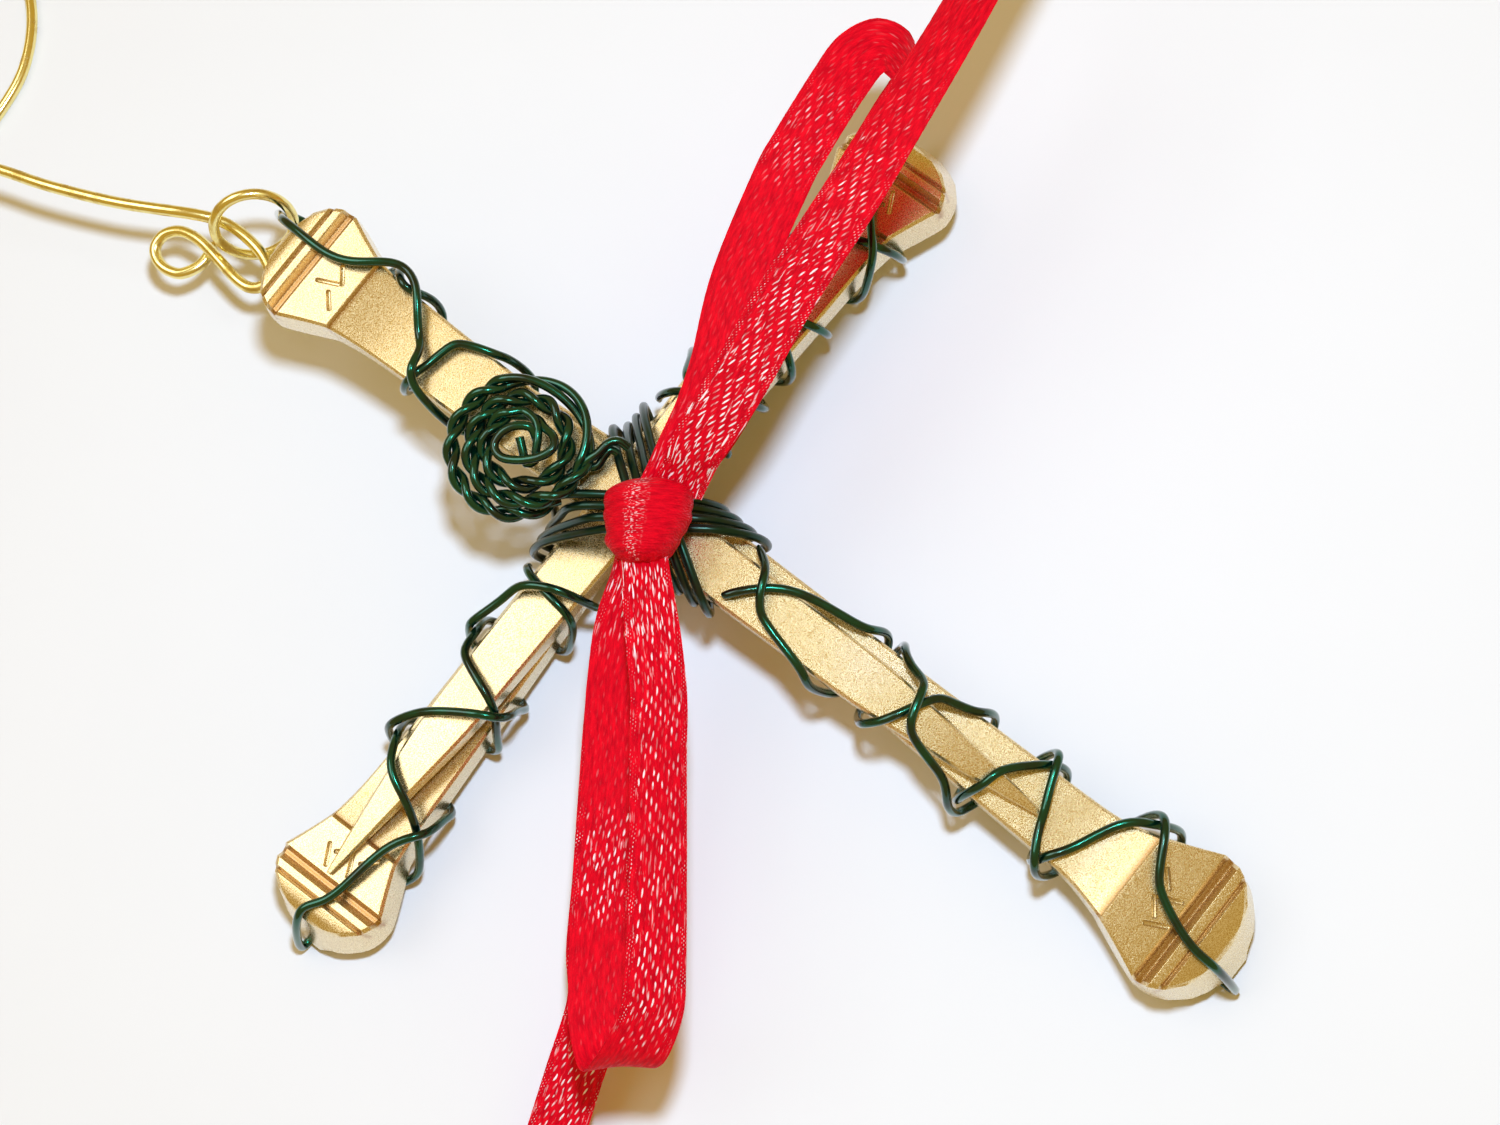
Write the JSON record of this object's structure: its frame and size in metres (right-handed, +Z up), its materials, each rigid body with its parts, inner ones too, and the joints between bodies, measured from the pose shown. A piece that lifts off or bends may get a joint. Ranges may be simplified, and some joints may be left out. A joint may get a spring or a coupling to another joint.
{
  "type": "horseshoe nail cross ornament",
  "caption": "Hanging cross of horseshoe nails wound with green wire, with a coiled wire rose, a jump ring with a gold hanging hook and a tied red satin ribbon bow.",
  "frame": {"origin": "on the surface the ornament lies on, under the middle of the box round its firm pieces", "axes": "+Y towards the head of the cross and its hook, +X towards the right arm, +Z up out of the front"},
  "size_m": [0.0769, 0.1179, 0.0187],
  "materials": {
    "champagne_gold": "pale champagne gold coating with a fine sparkle over steel",
    "green_enamel": "glossy dark green enamelled copper wire",
    "gold_wire": "bright gold wire",
    "red_satin": "red satin ribbon"
  },
  "bodies": {
    "root": {"left_nail": "champagne_gold", "right_nail": "champagne_gold", "foot_nail": "champagne_gold", "top_nail": "champagne_gold", "binding_lower_band": "green_enamel", "binding_upper_band": "green_enamel", "wire_left_arm": "green_enamel", "wire_right_arm": "green_enamel", "wire_foot_arm": "green_enamel", "wire_top_arm": "green_enamel", "rose_wire_one": "green_enamel", "rose_wire_two": "green_enamel", "jump_ring": "gold_wire", "hanging_hook": "gold_wire", "ribbon_knot": "red_satin", "ribbon_top_loop": "red_satin", "ribbon_upper_tail": "red_satin", "ribbon_bottom_loop": "red_satin", "ribbon_lower_tail": "red_satin"}
  },
  "joints": []
}
